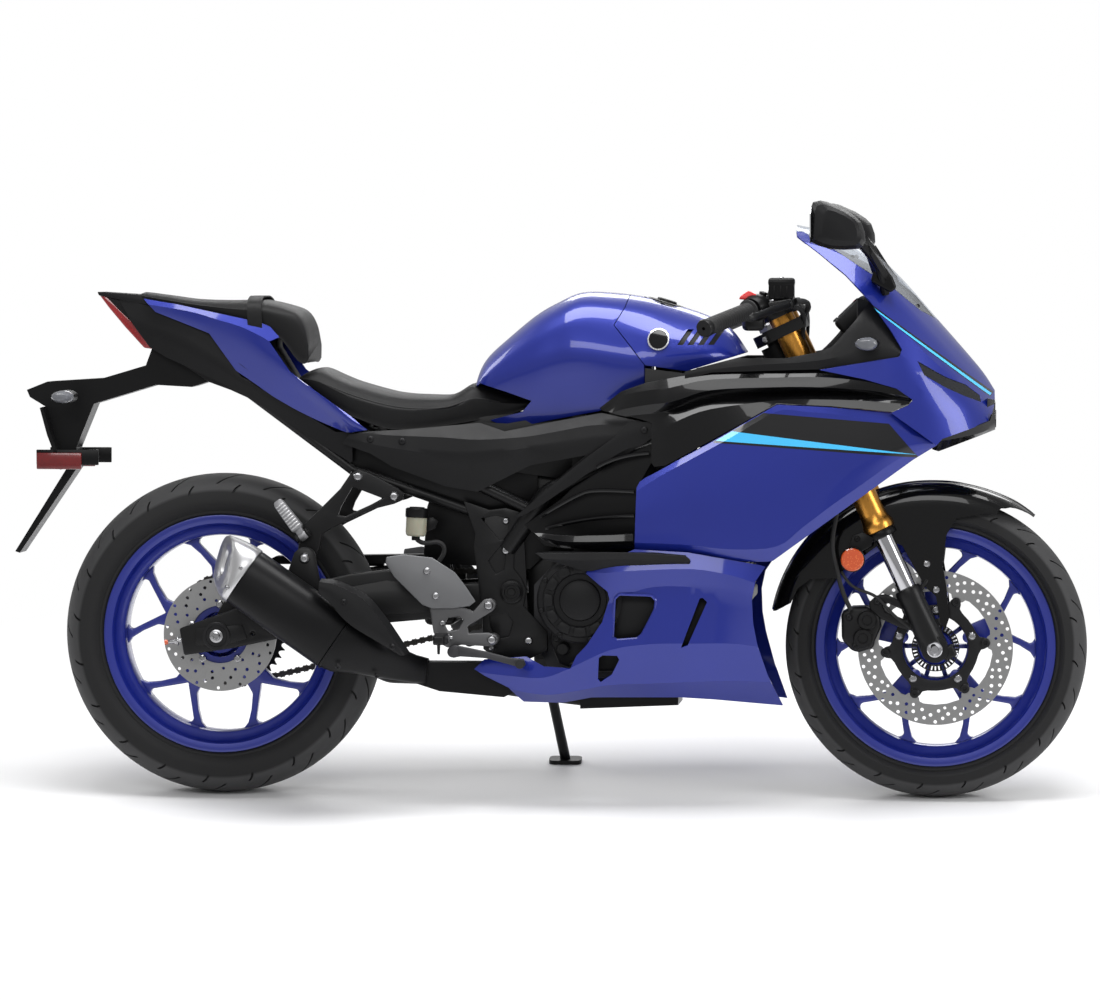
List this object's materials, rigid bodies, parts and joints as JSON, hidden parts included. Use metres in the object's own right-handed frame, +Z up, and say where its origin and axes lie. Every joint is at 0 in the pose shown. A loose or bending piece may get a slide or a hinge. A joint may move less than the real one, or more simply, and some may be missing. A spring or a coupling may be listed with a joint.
{
  "type": "sport motorcycle on its side stand",
  "caption": "Faired lightweight sport motorcycle with clip-on bars, twin-cylinder engine, side-mounted silencer and a two-piece seat, leaning on its side stand.",
  "frame": {"origin": "centre of the parked machine's bounding box, on the ground", "axes": "+X forward, +Y to the rider's left, +Z up; the machine leans 9 degrees towards +Y on its side stand"},
  "size_m": [2.0839, 0.7578, 1.1894],
  "materials": {
    "blue_paint": "deep metallic blue paint under clear lacquer",
    "tank_paint": "deep metallic blue paint under clear lacquer",
    "wheel_paint": "gloss blue powder coat",
    "gloss_black": "gloss black lacquer",
    "black_plastic": "fine-grained matt black moulding",
    "seat_vinyl": "textured black vinyl",
    "tyre": "black tyre rubber",
    "rubber": "black moulded rubber",
    "frame_black": "satin black enamel",
    "engine_grey": "dark painted castings",
    "radiator_black": "black fins",
    "exhaust_black": "heat-proof satin black",
    "brushed_alloy": "brushed silver",
    "cast_alloy": "bead-blasted grey alloy",
    "gold_anodised": "gold anodised",
    "chrome": "hard chrome",
    "disc_steel": "ground steel",
    "chain_steel": "oiled dark steel",
    "red_lens": "red lens",
    "clear_screen": "lightly smoked clear acrylic",
    "lamp_lens": "clear lamp glass over a dark reflector"
  },
  "bodies": {
    "chassis": {"swing_arm": "frame_black", "rear_spindle": "chrome", "frame": "frame_black", "rear_shock": "frame_black", "engine": "engine_grey", "engine_covers": "engine_grey", "radiator": "radiator_black", "exhaust": "exhaust_black", "silencer": "exhaust_black", "silencer_cap": "brushed_alloy", "heat_shield": "exhaust_black", "chain": "chain_steel", "chain_guard": "black_plastic", "fuel_tank": "tank_paint", "tank_cover": "blue_paint", "rider_seat": "seat_vinyl", "pillion_seat": "seat_vinyl", "tail_panels": "blue_paint", "undertray": "black_plastic", "tail_light": "red_lens", "plate_holder": "black_plastic", "rear_signals": "black_plastic", "side_covers": "black_plastic", "side_fairings": "blue_paint", "duct_panels": "gloss_black", "belly_pans": "blue_paint", "windscreen": "clear_screen", "front_cowl": "blue_paint", "headlights": "lamp_lens", "cockpit": "black_plastic", "cockpit_panels": "black_plastic", "front_signals": "black_plastic", "mirrors": "black_plastic", "step_brackets": "cast_alloy", "pillion_hangers": "frame_black", "rear_caliper": "frame_black"},
    "steering": {"yokes": "frame_black", "fork_tubes": "gold_anodised", "fork_legs": "chrome", "front_spindle": "chrome", "handlebars": "frame_black", "grips": "rubber", "controls": "black_plastic", "front_fender": "gloss_black", "front_caliper": "frame_black"},
    "front_wheel": {"front_wheel": "wheel_paint", "front_tyre": "tyre", "front_disc": "disc_steel"},
    "rear_wheel": {"rear_wheel": "wheel_paint", "rear_tyre": "tyre", "rear_disc": "disc_steel", "rear_sprocket": "chain_steel"},
    "side_stand": {"side_stand": "frame_black"},
    "rider_peg_right": {"rider_peg_right": "cast_alloy"},
    "rider_peg_left": {"rider_peg_left": "cast_alloy"},
    "pillion_peg_right": {"pillion_peg_right": "cast_alloy"},
    "pillion_peg_left": {"pillion_peg_left": "cast_alloy"}
  },
  "joints": [
    {"name": "steering", "type": "hinge", "parent": "chassis", "child": "steering", "pos_m": [0.4639, -0.02979, 0.80998], "axis": [-0.4226, 0.1418, 0.8951], "range_deg": [-32, 32]},
    {"name": "front_wheel_spin", "type": "hinge", "parent": "steering", "child": "front_wheel", "pos_m": [0.751, -0.11241, 0.28834], "axis": [0, 0.9877, -0.1564], "continuous": true},
    {"name": "rear_wheel_spin", "type": "hinge", "parent": "chassis", "child": "rear_wheel", "pos_m": [-0.634, -0.10928, 0.30809], "axis": [0, 0.9877, -0.1564], "continuous": true},
    {"name": "side_stand_swing", "type": "hinge", "parent": "chassis", "child": "side_stand", "pos_m": [-0.022, 0.00948, 0.23967], "axis": [0, 0.9571, 0.2898], "range_deg": [0, 98]},
    {"name": "rider_peg_right_fold", "type": "hinge", "parent": "chassis", "child": "rider_peg_right", "pos_m": [-0.19, -0.28577, 0.33807], "axis": [-1, 0, 0], "range_deg": [0, 70]},
    {"name": "rider_peg_left_fold", "type": "hinge", "parent": "chassis", "child": "rider_peg_left", "pos_m": [-0.19, 0.06783, 0.28206], "axis": [1, 0, 0], "range_deg": [0, 70]},
    {"name": "pillion_peg_right_fold", "type": "hinge", "parent": "chassis", "child": "pillion_peg_right", "pos_m": [-0.464, -0.21903, 0.5229], "axis": [0.8, 0.0939, 0.5926], "range_deg": [0, 90]},
    {"name": "pillion_peg_left_fold", "type": "hinge", "parent": "chassis", "child": "pillion_peg_left", "pos_m": [-0.464, 0.06147, 0.47847], "axis": [-0.8, -0.0939, -0.5926], "range_deg": [0, 90]}
  ]
}
